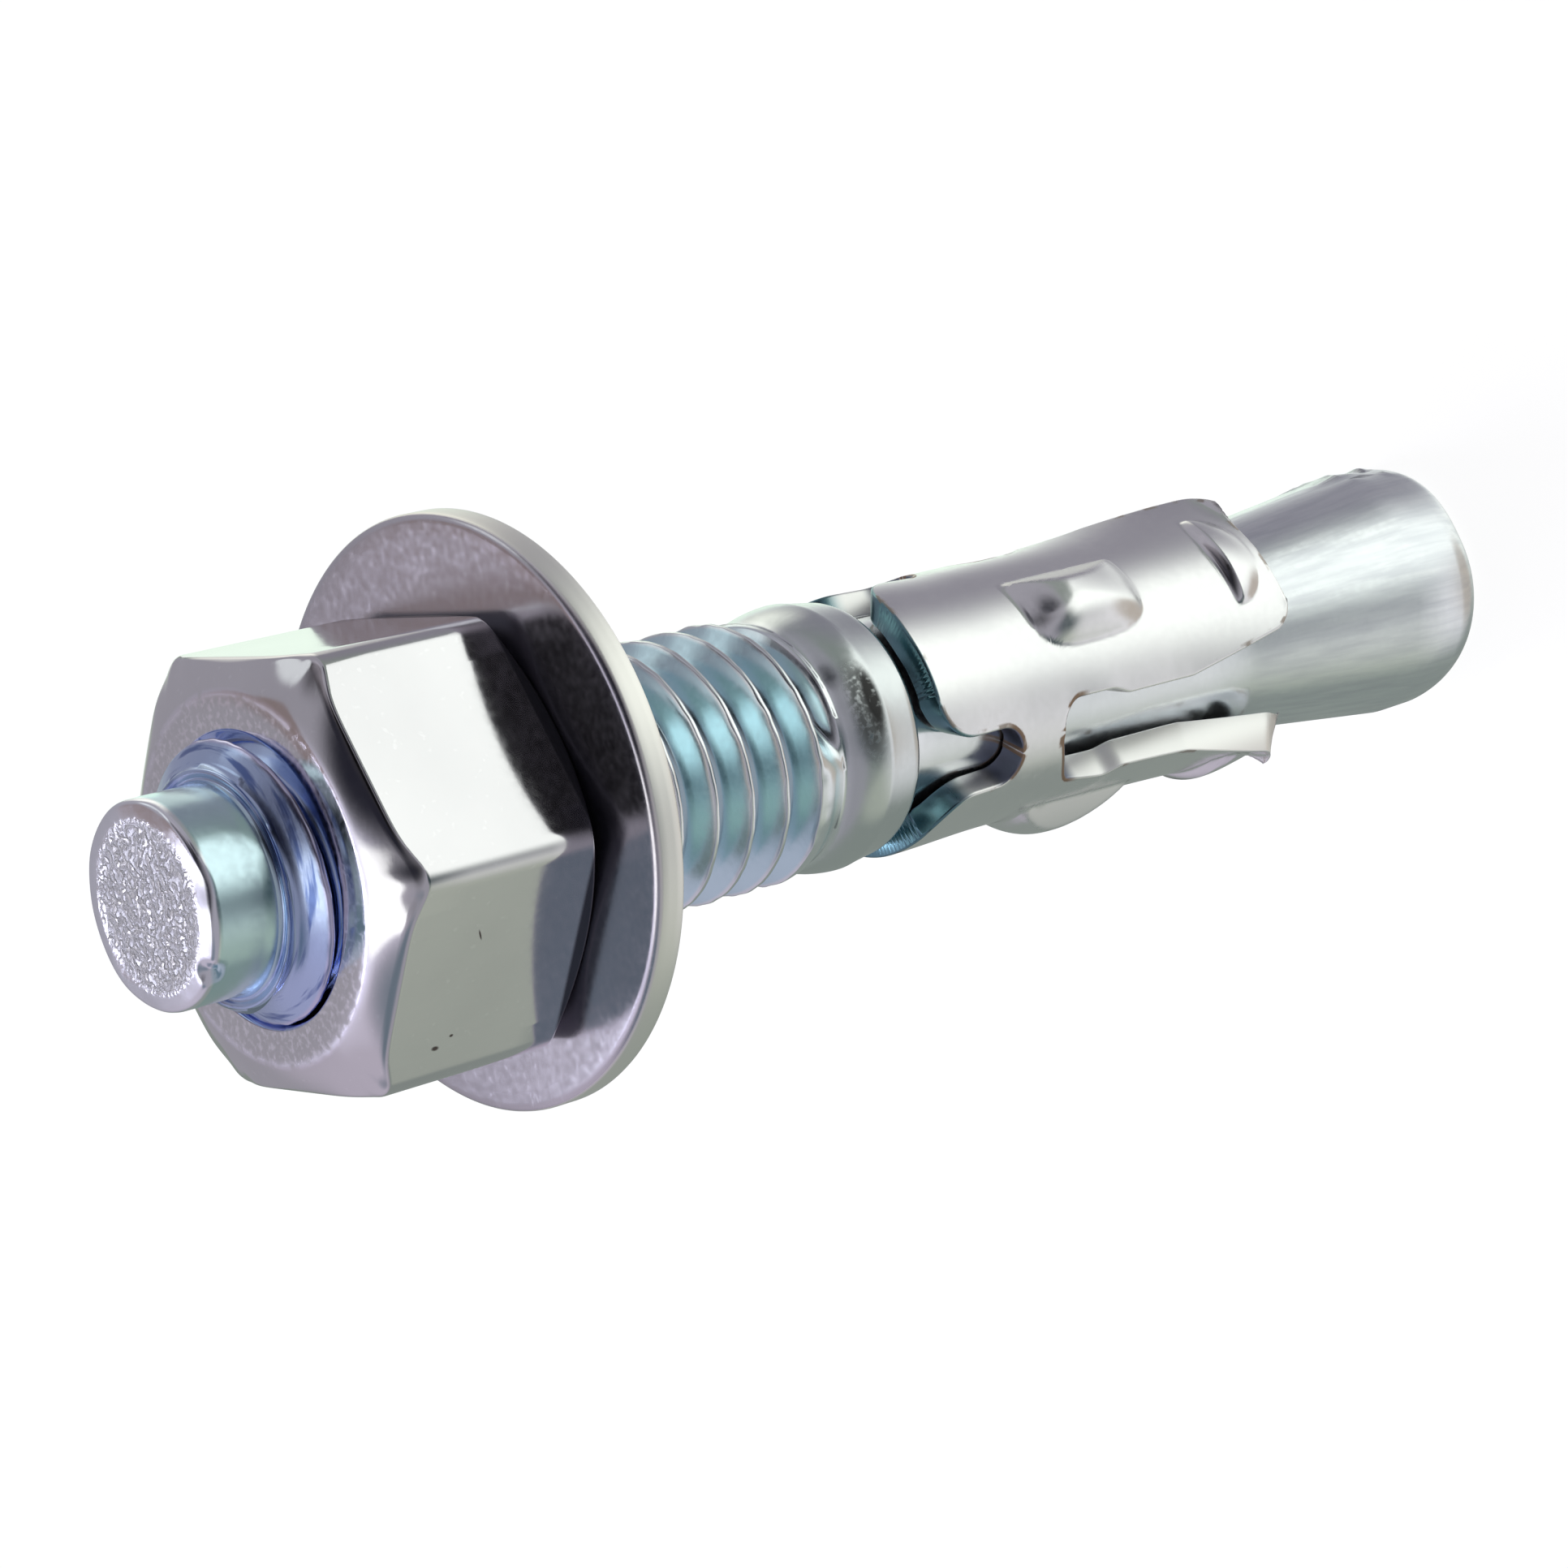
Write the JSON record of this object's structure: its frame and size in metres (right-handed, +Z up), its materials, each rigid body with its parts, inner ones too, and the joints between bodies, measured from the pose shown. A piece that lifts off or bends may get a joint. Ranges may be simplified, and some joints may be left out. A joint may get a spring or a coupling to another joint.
{
  "type": "wedge anchor",
  "caption": "Expansion anchor for concrete: a threaded stud with a cone end, a slotted clip round its neck, a flat washer and a hexagon nut.",
  "frame": {"origin": "middle of the cone end's flat face, which the anchor stands on", "axes": "+Z up the stud's axis, from the cone end to the dog point; +X square to one flat of the nut"},
  "size_m": [0.027, 0.027, 0.08],
  "materials": {
    "zinc_stud": "bright zinc plate, slightly blue",
    "zinc_clip": "bright zinc plate on sheet steel",
    "zinc_washer": "zinc plate, satin and faintly violet",
    "zinc_nut": "bright zinc plate, flats polished by the dies"
  },
  "bodies": {
    "stud": {"stud": "zinc_stud"},
    "clip": {"clip": "zinc_clip"},
    "washer": {"washer": "zinc_washer"},
    "nut": {"nut": "zinc_nut"}
  },
  "joints": [
    {"name": "clip_slide", "type": "slide", "parent": "stud", "child": "clip", "axis": [0, 0, 1], "range_m": [0, 0.0008]},
    {"name": "nut_travel", "type": "slide", "parent": "stud", "child": "washer", "axis": [0, 0, 1], "range_m": [-0.0128, 0.0096]},
    {"name": "nut_spin", "type": "hinge", "parent": "washer", "child": "nut", "pos_m": [0, 0, 0.0636], "axis": [0, 0, 1], "range_deg": [-2160, 1620]}
  ],
  "couplings": [
    {"joint": "nut_travel", "follows": "nut_spin", "m_per_rad": 0.00033688}
  ]
}
